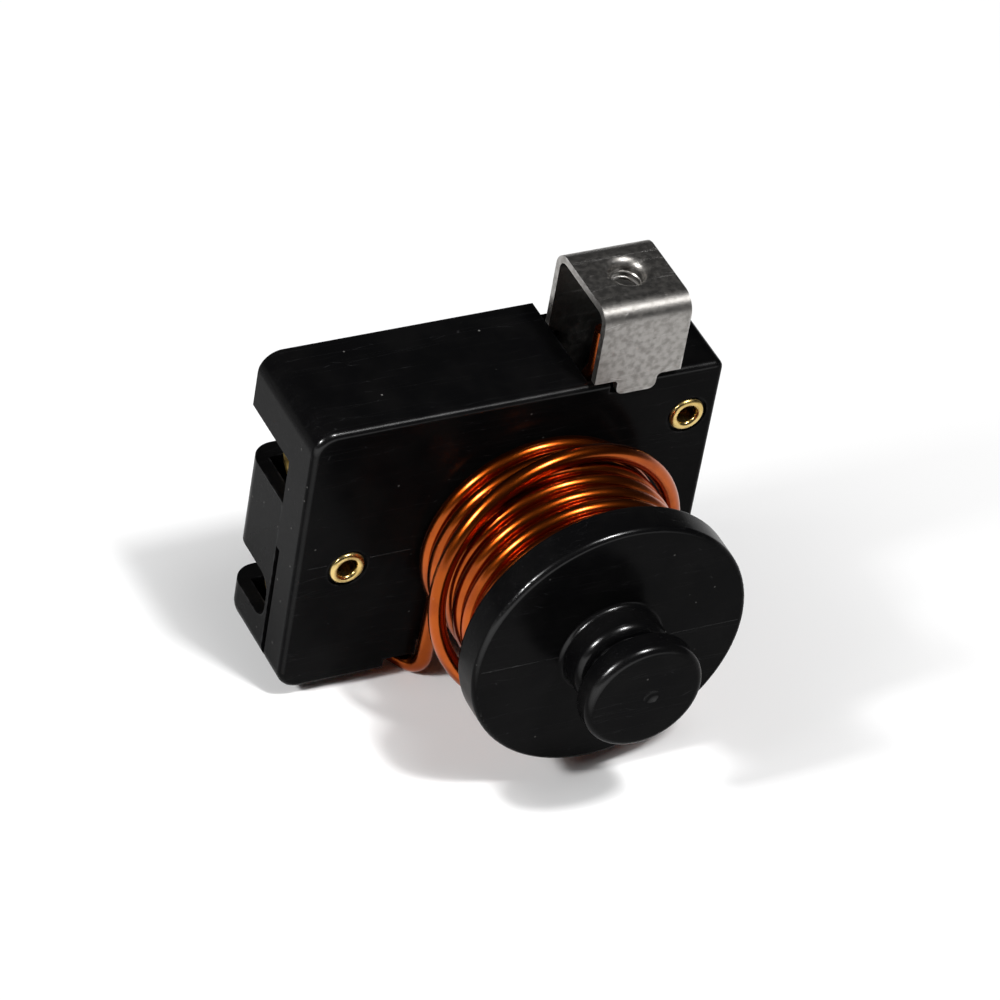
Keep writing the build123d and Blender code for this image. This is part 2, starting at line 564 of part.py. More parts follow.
with BuildPart() as bridge_buttons:
    for button_x in (COIL_X - CONTACT_OFFSET, COIL_X + CONTACT_OFFSET):
        bar_along_y(button_x, COIL_Z, BUTTON_RADIUS, (BRIDGE_BACK, BRIDGE_BACK + BRIDGE_BUTTON_HEIGHT))
    fillet(bridge_buttons.edges().group_by(Axis.Y)[-1], BUTTON_EDGE_RADIUS)
    for button_x in (COIL_X - CONTACT_OFFSET, COIL_X + CONTACT_OFFSET):
        bar_along_y(button_x, COIL_Z, BUTTON_SHANK_RADIUS, (BRIDGE_FRONT, BRIDGE_BACK))
bridge_buttons.part.label = "bridge_buttons"

# Bridge bush: insulates the bridge from the rod and seats the contact spring
with BuildPart() as bridge_bush:
    bar_along_y(COIL_X, COIL_Z, BUSH_RADIUS, (BUSH_FRONT, BUSH_BACK))
    bar_along_y(COIL_X, COIL_Z, BUSH_FLANGE_RADIUS, (BUSH_FRONT, BRIDGE_FRONT))
    bar_along_y(COIL_X, COIL_Z, GUIDE_RADIUS, (BUSH_FRONT, BUSH_BACK), mode=Mode.SUBTRACT)
bridge_bush.part.label = "bridge_bush"

# Contact spring: presses the bridge against the clip and yields when the contacts meet
with BuildPart() as contact_spring:
    spring_plane = Plane(
        origin=(COIL_X, COLLAR_BACK + SPRING_WIRE_RADIUS, COIL_Z), x_dir=(1, 0, 0), z_dir=(0, 1, 0)
    )
    spring_height = BUSH_FRONT - COLLAR_BACK - 2 * SPRING_WIRE_RADIUS
    with BuildLine() as spring_path:
        Helix(
            spring_height / SPRING_TURNS,
            spring_height,
            SPRING_RADIUS,
            center=spring_plane.origin,
            direction=(0, 1, 0),
        )
    with BuildSketch(Plane(origin=spring_path.line @ 0, z_dir=spring_path.line % 0)):
        Circle(SPRING_WIRE_RADIUS)
    sweep()
contact_spring.part.label = "contact_spring"

# Plunger: iron core on a brass rod, with the spring's collar and the clip that holds the bridge
with BuildPart() as plunger_core:
    bar_along_y(COIL_X, COIL_Z, IRON_RADIUS, (IRON_FRONT, IRON_FRONT + IRON_LENGTH))
    chamfer(plunger_core.edges().filter_by(GeomType.CIRCLE), IRON_CHAMFER)
    rod_room = (IRON_FRONT, IRON_FRONT + IRON_LENGTH)
    bar_along_y(COIL_X, COIL_Z, ROD_RADIUS, rod_room, mode=Mode.SUBTRACT)
plunger_core.part.label = "plunger_core"

with BuildPart() as guide_rod:
    bar_along_y(COIL_X, COIL_Z, ROD_RADIUS, (ROD_FRONT, ROD_BACK))
    chamfer(guide_rod.edges().filter_by(GeomType.CIRCLE), ROD_CHAMFER)
    with BuildSketch(facing_front(BUSH_BACK + CLIP_THICKNESS)):
        with Locations((COIL_X, COIL_Z)):
            Circle(ROD_RADIUS + 1)
            Circle(GROOVE_RADIUS, mode=Mode.SUBTRACT)
    extrude(amount=CLIP_THICKNESS, mode=Mode.SUBTRACT)
guide_rod.part.label = "guide_rod"

with BuildPart() as spring_collar:
    bar_along_y(COIL_X, COIL_Z, COLLAR_RADIUS, (COLLAR_FRONT, COLLAR_BACK))
    bar_along_y(COIL_X, COIL_Z, ROD_RADIUS, (COLLAR_FRONT, COLLAR_BACK), mode=Mode.SUBTRACT)
spring_collar.part.label = "spring_collar"

with BuildPart() as retaining_clip:
    with BuildSketch(facing_front(BUSH_BACK + CLIP_THICKNESS)):
        with Locations((COIL_X, COIL_Z)):
            Circle(CLIP_RADIUS)
            Circle(GROOVE_RADIUS, mode=Mode.SUBTRACT)
        with Locations((COIL_X, COIL_Z - CLIP_RADIUS)):
            Rectangle(GROOVE_RADIUS * 1.6, 2 * CLIP_RADIUS, mode=Mode.SUBTRACT)
    extrude(amount=CLIP_THICKNESS)
retaining_clip.part.label = "retaining_clip"

# Guide plate in the mouth of the bore, and cushion washer at its bottom
with BuildPart() as guide_plate:
    plate_room = (INSIDE_FRONT - GUIDE_PLATE_THICKNESS, INSIDE_FRONT)
    bar_along_y(COIL_X, COIL_Z, GUIDE_PLATE_RADIUS - FIT_GAP, plate_room)
    bar_along_y(COIL_X, COIL_Z, GUIDE_RADIUS, plate_room, mode=Mode.SUBTRACT)
guide_plate.part.label = "guide_plate"

with BuildPart() as cushion_washer:
    bar_along_y(COIL_X, COIL_Z, IRON_RADIUS, (BORE_BOTTOM, IRON_FRONT))
    bar_along_y(COIL_X, COIL_Z, ROD_RADIUS + 0.5, (BORE_BOTTOM, IRON_FRONT), mode=Mode.SUBTRACT)
cushion_washer.part.label = "cushion_washer"


def rolled_tube(pin_z):
    """A receptacle rolled from brass sheet, with a flared mouth towards the pin."""
    with BuildSketch(Plane.XY.offset(pin_z)) as tube_profile:
        with BuildLine():
            Polyline(
                (RECEPTACLE_START, MOUTH_RADIUS - RECEPTACLE_WALL),
                (RECEPTACLE_START, MOUTH_RADIUS),
                (RECEPTACLE_START + MOUTH_LENGTH, RECEPTACLE_RADIUS),
                (RECEPTACLE_END, RECEPTACLE_RADIUS),
                (RECEPTACLE_END, PIN_RADIUS),
                (RECEPTACLE_START + MOUTH_LENGTH, PIN_RADIUS),
                close=True,
            )
        make_face()
    revolve(tube_profile.sketch, axis=Axis((0, 0, pin_z), (1, 0, 0)))
    seam_x = (RECEPTACLE_START - 1, RECEPTACLE_END + 1)
    block(seam_x, (0, MOUTH_RADIUS + 1), (pin_z - SEAM / 2, pin_z + SEAM / 2), mode=Mode.SUBTRACT)


with BuildPart() as start_receptacle:
    rolled_tube(PIN_HEIGHTS[0])
start_receptacle.part.label = "start_receptacle"

with BuildPart() as run_receptacle:
    rolled_tube(PIN_HEIGHTS[1])
    tail_height = (PIN_HEIGHTS[1] - MOUTH_RADIUS, PIN_HEIGHTS[1] + MOUTH_RADIUS)
    block((RECEPTACLE_END, RECEPTACLE_END + STRIP), (-MOUTH_RADIUS, MOUTH_RADIUS), tail_height)
run_receptacle.part.label = "run_receptacle"

# Steel bands that keep the receptacles tight on the pins
with BuildPart() as receptacle_bands:
    for pin_z in PIN_HEIGHTS:
        band = (BAND_START, BAND_START + BAND_WIDTH)
        bar_along_x(0, pin_z, RECEPTACLE_RADIUS + BAND_THICKNESS, band)
        bar_along_x(0, pin_z, RECEPTACLE_RADIUS, band, mode=Mode.SUBTRACT)
        gap_height = (pin_z - SEAM, pin_z + SEAM)
        block(band, (0, MOUTH_RADIUS + 1), gap_height, mode=Mode.SUBTRACT)
receptacle_bands.part.label = "receptacle_bands"

# Tubular rivets through the whole body, with rolled rims
with BuildPart() as rivets:
    for rivet_x, rivet_z in RIVET_PLACES:
        front_seat = FRONT + RIVET_SEAT_DEPTH
        back_seat = BACK - RIVET_SEAT_DEPTH
        for rim in ((front_seat - RIVET_RIM_HEIGHT, front_seat), (back_seat, back_seat + RIVET_RIM_HEIGHT)):
            bar_along_y(rivet_x, rivet_z, RIVET_RIM_RADIUS, rim)
        bar_along_y(rivet_x, rivet_z, RIVET_SHANK_RADIUS, (front_seat, back_seat))
        bar_along_y(rivet_x, rivet_z, RIVET_BORE_RADIUS, (FRONT - 1, BACK + 1), mode=Mode.SUBTRACT)
    rim_edges = rivets.edges().group_by(Axis.Y)
    fillet(rim_edges[0] + rim_edges[-1], RIVET_RIM_EDGE_RADIUS)
rivets.part.label = "rivets"

nodes = [
    coil_housing.part,
    rear_cover.part,
    coil_winding.part,
    line_bracket.part,
    line_contact_strip.part,
    start_contact_strip.part,
    line_contact_button,
    start_contact_button,
    contact_bridge.part,
    bridge_buttons.part,
    bridge_bush.part,
    contact_spring.part,
    plunger_core.part,
    guide_rod.part,
    spring_collar.part,
    retaining_clip.part,
    guide_plate.part,
    cushion_washer.part,
    start_receptacle.part,
    run_receptacle.part,
    receptacle_bands.part,
    rivets.part,
]
for node in nodes:
    export_step(node, f"parts/{node.label}.step")
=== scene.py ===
"""Looks of the compressor current relay: finishes, fine detail, lamps and camera around its CAD frame."""

import json
import logging
import math
from dataclasses import dataclass, field
from enum import Enum
from typing import Optional

import bmesh
import bpy
from mathutils import Euler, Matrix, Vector


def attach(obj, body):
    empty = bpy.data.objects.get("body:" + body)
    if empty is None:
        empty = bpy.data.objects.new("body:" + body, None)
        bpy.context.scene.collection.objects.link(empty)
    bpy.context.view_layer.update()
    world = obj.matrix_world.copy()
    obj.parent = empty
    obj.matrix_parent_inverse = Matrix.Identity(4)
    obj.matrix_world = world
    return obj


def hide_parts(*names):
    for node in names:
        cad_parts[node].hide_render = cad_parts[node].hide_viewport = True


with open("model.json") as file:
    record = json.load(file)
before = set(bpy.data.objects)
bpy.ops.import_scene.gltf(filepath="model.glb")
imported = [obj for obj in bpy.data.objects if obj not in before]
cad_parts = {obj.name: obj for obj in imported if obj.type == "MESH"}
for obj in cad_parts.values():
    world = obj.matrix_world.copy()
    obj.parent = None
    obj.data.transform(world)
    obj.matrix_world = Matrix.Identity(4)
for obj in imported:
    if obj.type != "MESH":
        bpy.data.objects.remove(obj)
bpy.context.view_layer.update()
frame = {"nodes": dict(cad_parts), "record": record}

logging.basicConfig(level=logging.INFO, format="%(message)s")
log = logging.getLogger("relay")

MM = 0.001
WELD_REACH = 0.002 * MM
SMOOTH_DEGREES = 30.0

# Places shared with the CAD model, in millimetres
FRONT = -7.3
TOP = 17.4
BOTTOM = -15.8
COIL_X = 25.7
COIL_Z = 0.4
FLANGE_BACK = FRONT - 15.0
FLANGE_FRONT = FLANGE_BACK - 3.9
FLANGE_RADIUS = 14.9
BOSS_ROOT_RADIUS = 5.3
BRACKET_FRONT = FRONT - 0.35
BRACKET_SHEET = 0.8
BRACKET_TOP = 26.7
SCREW_X = 35.1
SCREW_Y = -1.7
SCREW_HOLE_RADIUS = 1.65
SCREW_MOUTH_RADIUS = 1.0
SCREW_COLLAR_LENGTH = 2.4

# The coil's wire: its ends, leads and inner turns as in the CAD model, its crossing as in the photograph
WIRE_RADIUS = 0.9
INNER_TURN_RADIUS = 11.6
OUTER_TURN_RADIUS = INNER_TURN_RADIUS + 2.0
START_ANGLE = 206.0
INNER_DEGREES = 2402.0
CROSSING_DEGREES = 344.0
FIRST_TURN_Y = FRONT - WIRE_RADIUS - 0.05
LAST_TURN_Y = FLANGE_BACK + WIRE_RADIUS + 0.12
OUTER_END_Y = FRONT - 4.6
CLIMB_SHARE = 0.12
QUICK_SHARE = 0.15
BULGE = 0.5
BULGE_SHARE = 0.8
LEAD_BEND = 2.0
LEAD_BOTTOM = BOTTOM - 0.1
LEAD_FRONT_X = 15.6
LEAD_SLANT = 1.4
LEAD_PASSAGE_Y = -4.0
LEAD_FIRST_RUN = 1.3
RUN_LEAD_X = 11.8
RUN_LEAD_TOP = -5.5
RUN_LEAD_TURN = -11.5
UPPER_LEAD_X = 30.9
UPPER_LEAD_Y = -4.5
UPPER_LEAD_RUN = 2.5
UPPER_LEAD_BEND = 1.6
UPPER_LEAD_TURN = 9.0
UPPER_LEAD_SLANT = 5.0
UPPER_LEAD_LEG = (TOP - 1.4, TOP + 1.2)
UPPER_LEAD_LEG_Y = BRACKET_FRONT + BRACKET_SHEET + WIRE_RADIUS
UPPER_LEAD_TOP = 23.5


class Body(Enum):
    """The rigid bodies that pieces ride on."""

    HOUSING = "housing"
    PLUNGER = "plunger"
    BRIDGE = "bridge"


def millimetres(x: float, y: float, z: float) -> Vector:
    """Turns a place given in millimetres into metres.

    Args:
        x: Along the body.
        y: From the coil to the back.
        z: Towards the screw terminal.

    Returns:
        The same place in metres.
    """
    return Vector((x, y, z)) * MM


# Shader building blocks


@dataclass
class Sketch:
    """A node tree being drawn, with short ways to add, set and link nodes."""

    tree: bpy.types.NodeTree

    def add(self, kind: str, **settings: object) -> bpy.types.Node:
        """Adds a node.

        Args:
            kind: Blender's name of the node type.
            settings: Properties to set on it.

        Returns:
            The new node.
        """
        node = self.tree.nodes.new(kind)
        for name, value in settings.items():
            setattr(node, name, value)
        return node

    def feed(self, socket: bpy.types.NodeSocket, value: object) -> None:
        """Links an output to a socket, or sets the socket's own value.

        Args:
            socket: The input to feed.
            value: An output socket or a constant.
        """
        if isinstance(value, bpy.types.NodeSocket):
            self.tree.links.new(value, socket)
        else:
            socket.default_value = value

    def math(self, operation: str, first: object, second: object = 0.0) -> bpy.types.NodeSocket:
        """Adds a math node.

        Args:
            operation: Blender's name of the operation.
            first: First input.
            second: Second input, where the operation has one.

        Returns:
            The result's socket.
        """
        node = self.add("ShaderNodeMath", operation=operation)
        self.feed(node.inputs[0], first)
        self.feed(node.inputs[1], second)
        return node.outputs[0]

    def ramp(self, value: object, low: float, high: float) -> bpy.types.NodeSocket:
        """Maps a value to 0 at low and 1 at high, held between the two.

        Args:
            value: The input.
            low: Where the result is 0.
            high: Where the result is 1.

        Returns:
            The result's socket.
        """
        node = self.add("ShaderNodeMapRange", interpolation_type="SMOOTHSTEP")
        self.feed(node.inputs["Value"], value)
        node.inputs["From Min"].default_value = low
        node.inputs["From Max"].default_value = high
        return node.outputs["Result"]

    def noise(self, place: object, scale: object, detail: float = 2.0) -> bpy.types.NodeSocket:
        """Adds a noise texture.

        Args:
            place: Where it is read.
            scale: Its scale.
            detail: Its number of octaves.

        Returns:
            The noise value's socket.
        """
        node = self.add("ShaderNodeTexNoise")
        self.feed(node.inputs["Vector"], place)
        self.feed(node.inputs["Scale"], scale)
        node.inputs["Detail"].default_value = detail
        return node.outputs["Fac"]

    def mix_colour(self, share: object, first: object, second: object) -> bpy.types.NodeSocket:
        """Mixes two colours.

        Args:
            share: How much of the second, from 0 to 1.
            first: The colour at 0.
            second: The colour at 1.

        Returns:
            The mixed colour's socket.
        """
        node = self.add("ShaderNodeMix", data_type="RGBA")
        self.feed(node.inputs[0], share)
        self.feed(node.inputs[6], first)
        self.feed(node.inputs[7], second)
        return node.outputs[2]

    def mix_value(self, share: object, first: object, second: object) -> bpy.types.NodeSocket:
        """Mixes two numbers.

        Args:
            share: How much of the second, from 0 to 1.
            first: The number at 0.
            second: The number at 1.

        Returns:
            The mixed number's socket.
        """
        node = self.add("ShaderNodeMix", data_type="FLOAT")
        self.feed(node.inputs[0], share)
        self.feed(node.inputs[2], first)
        self.feed(node.inputs[3], second)
        return node.outputs[0]


def new_group(name: str, inputs: dict[str, float], outputs: tuple[str, ...]) -> tuple[Sketch, dict]:
    """Starts a shader node group of number sockets.

    Args:
        name: The group's name.
        inputs: Input names with their default values.
        outputs: Output names.

    Returns:
        The sketch, and the group's ends: "in" gives the outputs of its input node by name, "out" the
        inputs of its output node.
    """
    tree = bpy.data.node_groups.new(name, "ShaderNodeTree")
    for label, value in inputs.items():
        socket = tree.interface.new_socket(name=label, in_out="INPUT", socket_type="NodeSocketFloat")
        socket.default_value = value
    for label in outputs:
        tree.interface.new_socket(name=label, in_out="OUTPUT", socket_type="NodeSocketFloat")
    sketch = Sketch(tree)
    entry = sketch.add("NodeGroupInput")
    leave = sketch.add("NodeGroupOutput")
    return sketch, {"in": entry.outputs, "out": leave.inputs}


def edge_wear_group() -> bpy.types.NodeTree:
    """A mask of rubbed outer edges, from the difference between the bevelled and the true normal.

    Returns:
        The node group, with inputs Width and Breakup scale and the output Mask.
    """
    sketch, ends = new_group("edge_wear", {"Width": 0.0004, "Breakup scale": 900.0}, ("Mask",))
    bevel = sketch.add("ShaderNodeBevel", samples=4)
    sketch.feed(bevel.inputs["Radius"], ends["in"]["Width"])
    geometry = sketch.add("ShaderNodeNewGeometry")
    turned = sketch.add("ShaderNodeVectorMath", operation="DOT_PRODUCT")
    sketch.feed(turned.inputs[0], bevel.outputs["Normal"])
    sketch.feed(turned.inputs[1], geometry.outputs["Normal"])
    edge = sketch.ramp(turned.outputs["Value"], 0.995, 0.86)
    place = sketch.add("ShaderNodeTexCoord").outputs["Object"]
    breakup = sketch.ramp(sketch.noise(place, ends["in"]["Breakup scale"], 4.0), 0.42, 0.68)
    sketch.feed(ends["out"]["Mask"], sketch.math("MULTIPLY", edge, breakup))
    return sketch.tree


def scratch_group() -> bpy.types.NodeTree:
    """Fine straight scratches in two directions.

    Returns:
        The node group, with inputs Scale and Amount and the output Mask.
    """
    sketch, ends = new_group("scratches", {"Scale": 120.0, "Amount": 0.5}, ("Mask",))
    place = sketch.add("ShaderNodeTexCoord").outputs["Object"]
    masks = []
    for turn, stretch in ((0.5, 26.0), (2.1, 18.0)):
        mapping = sketch.add("ShaderNodeMapping")
        sketch.feed(mapping.inputs["Vector"], place)
        mapping.inputs["Rotation"].default_value = (turn, turn * 0.7, turn * 1.3)
        mapping.inputs["Scale"].default_value = (1.0, stretch, stretch)
        cells = sketch.add("ShaderNodeTexVoronoi", feature="DISTANCE_TO_EDGE")
        sketch.feed(cells.inputs["Vector"], mapping.outputs["Vector"])
        sketch.feed(cells.inputs["Scale"], ends["in"]["Scale"])
        line = sketch.ramp(cells.outputs["Distance"], 0.014, 0.0)
        patches = sketch.ramp(sketch.noise(mapping.outputs["Vector"], 60.0, 1.0), 0.56, 0.66)
        masks.append(sketch.math("MULTIPLY", line, patches))
    both = sketch.math("MAXIMUM", masks[0], masks[1])
    sketch.feed(ends["out"]["Mask"], sketch.math("MULTIPLY", both, ends["in"]["Amount"]))
    return sketch.tree


def dust_group() -> bpy.types.NodeTree:
    """Small loose specks, more of them on faces that look up.

    Returns:
        The node group, with inputs Scale and Amount and the output Mask.
    """
    sketch, ends = new_group("dust", {"Scale": 1100.0, "Amount": 0.5}, ("Mask",))
    place = sketch.add("ShaderNodeTexCoord").outputs["Object"]
    cells = sketch.add("ShaderNodeTexVoronoi", feature="F1")
    sketch.feed(cells.inputs["Vector"], place)
    sketch.feed(cells.inputs["Scale"], ends["in"]["Scale"])
    speck = sketch.ramp(cells.outputs["Distance"], 0.16, 0.06)
    chosen = sketch.add("ShaderNodeSeparateColor")
    sketch.feed(chosen.inputs["Color"], cells.outputs["Color"])
    few = sketch.ramp(chosen.outputs["Red"], 0.955, 0.97)
    normal = sketch.add("ShaderNodeSeparateXYZ")
    sketch.feed(normal.inputs[0], sketch.add("ShaderNodeNewGeometry").outputs["Normal"])
    upward = sketch.mix_value(sketch.ramp(normal.outputs["Z"], -0.2, 0.8), 0.35, 1.0)
    loose = sketch.math("MULTIPLY", sketch.math("MULTIPLY", speck, few), upward)
    sketch.feed(ends["out"]["Mask"], sketch.math("MULTIPLY", loose, ends["in"]["Amount"]))
    return sketch.tree


def grain_group() -> bpy.types.NodeTree:
    """Slow waves of a moulded or rolled surface together with a fine grain.

    Returns:
        The node group, with inputs Wave scale, Grain scale and Grain share and the output Height.
    """
    settings = {"Wave scale": 90.0, "Grain scale": 2600.0, "Grain share": 0.3}
    sketch, ends = new_group("grain", settings, ("Height",))
    place = sketch.add("ShaderNodeTexCoord").outputs["Object"]
    wave = sketch.noise(place, ends["in"]["Wave scale"], 2.0)
    grain = sketch.noise(place, ends["in"]["Grain scale"], 3.0)
    sketch.feed(ends["out"]["Height"], sketch.mix_value(ends["in"]["Grain share"], wave, grain))
    return sketch.tree


def crevice_group() -> bpy.types.NodeTree:
    """A mask of narrow places that little light reaches, such as bores and inner corners, for painting
    shade into them.

    Returns:
        The node group, with input Reach and output Mask.
    """
    sketch, ends = new_group("crevices", {"Reach": 0.0012}, ("Mask",))
    hidden = sketch.add("ShaderNodeAmbientOcclusion", samples=6)
    sketch.feed(hidden.inputs["Distance"], ends["in"]["Reach"])
    sketch.feed(ends["out"]["Mask"], sketch.ramp(hidden.outputs["AO"], 0.62, 0.22))
    return sketch.tree


@dataclass(frozen=True)
class Effects:
    """The node groups that all finishes share."""

    edge_wear: bpy.types.NodeTree
    scratches: bpy.types.NodeTree
    dust: bpy.types.NodeTree
    grain: bpy.types.NodeTree
    crevices: bpy.types.NodeTree

    @classmethod
    def build(cls) -> "Effects":
        """Builds each group once.

        Returns:
            The shared groups.
        """
        return cls(edge_wear_group(), scratch_group(), dust_group(), grain_group(), crevice_group())


@dataclass(frozen=True)
class Finish:
    """What one material looks like.

    Attributes:
        colour: Linear base colour.
        second_colour: Colour of its slow blotches.
        metallic: 1 for bare metal.
        roughness: Lowest and highest roughness.
        specular: Strength of a non-metal's reflection, seen square on.
        slanted_specular: The same, seen at a slant.
        coat: Strength of a clear layer on top.
        wear_colour: Colour of rubbed edges.
        wear: How much the edges are rubbed.
        scratches: How much it is scratched.
        dust: How much dust or how many specks it holds.
        dust_colour: Colour of the dust or specks.
        painted_crevice_shade: How much painted shade darkens its narrow places.
        bump: Depth of its grain, in metres.
        wave_scale: Scale of the slow waves.
        grain_scale: Scale of the fine grain.
    """

    colour: tuple[float, float, float]
    second_colour: tuple[float, float, float]
    metallic: float = 0.0
    roughness: tuple[float, float] = (0.3, 0.45)
    specular: float = 0.5
    slanted_specular: float = 0.5
    coat: float = 0.0
    wear_colour: tuple[float, float, float] = (0.5, 0.5, 0.5)
    wear: float = 0.3
    scratches: float = 0.3
    dust: float = 0.3
    dust_colour: tuple[float, float, float] = (0.42, 0.41, 0.39)
    painted_crevice_shade: float = 0.0
    bump: float = 0.00001
    wave_scale: float = 90.0
    grain_scale: float = 2600.0

    def material(self, name: str, effects: Effects) -> bpy.types.Material:
        """Builds the material.

        Args:
            name: Its name.
            effects: The shared node groups.

        Returns:
            The new material.
        """
        made = bpy.data.materials.new(name)
        made.use_nodes = True
        made.node_tree.nodes.clear()
        sketch = Sketch(made.node_tree)
        surface = sketch.add("ShaderNodeBsdfPrincipled")
        output = sketch.add("ShaderNodeOutputMaterial")
        sketch.feed(output.inputs["Surface"], surface.outputs["BSDF"])
        wear = sketch.add("ShaderNodeGroup", node_tree=effects.edge_wear).outputs["Mask"]
        scratched = sketch.add("ShaderNodeGroup", node_tree=effects.scratches)
        scratched.inputs["Amount"].default_value = self.scratches
        dusty = sketch.add("ShaderNodeGroup", node_tree=effects.dust)
        dusty.inputs["Amount"].default_value = self.dust
        grain = sketch.add("ShaderNodeGroup", node_tree=effects.grain)
        grain.inputs["Wave scale"].default_value = self.wave_scale
        grain.inputs["Grain scale"].default_value = self.grain_scale
        place = sketch.add("ShaderNodeTexCoord").outputs["Object"]
        blotches = sketch.ramp(sketch.noise(place, self.wave_scale * 2.2, 4.0), 0.35, 0.7)
        base = sketch.mix_colour(blotches, (*self.colour, 1.0), (*self.second_colour, 1.0))
        rubbed = sketch.math("MULTIPLY", wear, self.wear)
        worn = sketch.mix_colour(rubbed, base, (*self.wear_colour, 1.0))
        scraped = sketch.mix_colour(scratched.outputs["Mask"], worn, (*self.wear_colour, 1.0))
        dusted = sketch.mix_colour(dusty.outputs["Mask"], scraped, (*self.dust_colour, 1.0))
        # Painted shade: narrow places found by ambient occlusion turn near black and lose their metal and
        # gloss; dust also takes away metal and gloss
        hidden = sketch.add("ShaderNodeGroup", node_tree=effects.crevices).outputs["Mask"]
        painted_crevice_shade = sketch.math("MULTIPLY", hidden, self.painted_crevice_shade)
        crevice_shaded = sketch.mix_colour(painted_crevice_shade, dusted, (0.012, 0.009, 0.006, 1.0))
        sketch.feed(surface.inputs["Base Color"], crevice_shaded)
        dust_and_crevice_shade = sketch.math("MAXIMUM", dusty.outputs["Mask"], painted_crevice_shade)
        bare_metal = sketch.mix_value(dust_and_crevice_shade, self.metallic, 0.0)
        sketch.feed(surface.inputs["Metallic"], bare_metal)
        smooth, rough = self.roughness
        patchy = sketch.mix_value(blotches, smooth, rough)
        roughened = sketch.math("ADD", patchy, sketch.math("MULTIPLY", scratched.outputs["Mask"], 0.2))
        sketch.feed(surface.inputs["Roughness"], sketch.mix_value(dust_and_crevice_shade, roughened, 0.9))
        slant = sketch.ramp(sketch.add("ShaderNodeLayerWeight").outputs["Facing"], 0.08, 0.32)
        specular = sketch.mix_value(slant, self.specular, self.slanted_specular)
        sketch.feed(surface.inputs["Specular IOR Level"], specular)
        surface.inputs["Coat Weight"].default_value = self.coat
        surface.inputs["Coat Roughness"].default_value = 0.12
        bump = sketch.add("ShaderNodeBump")
        bump.inputs["Strength"].default_value = 1.0
        bump.inputs["Distance"].default_value = self.bump
        carved = sketch.math("SUBTRACT", grain.outputs["Height"], scratched.outputs["Mask"])
        raised = sketch.math("ADD", carved, dusty.outputs["Mask"])
        sketch.feed(bump.inputs["Height"], raised)
        sketch.feed(surface.inputs["Normal"], bump.outputs["Normal"])
        return made


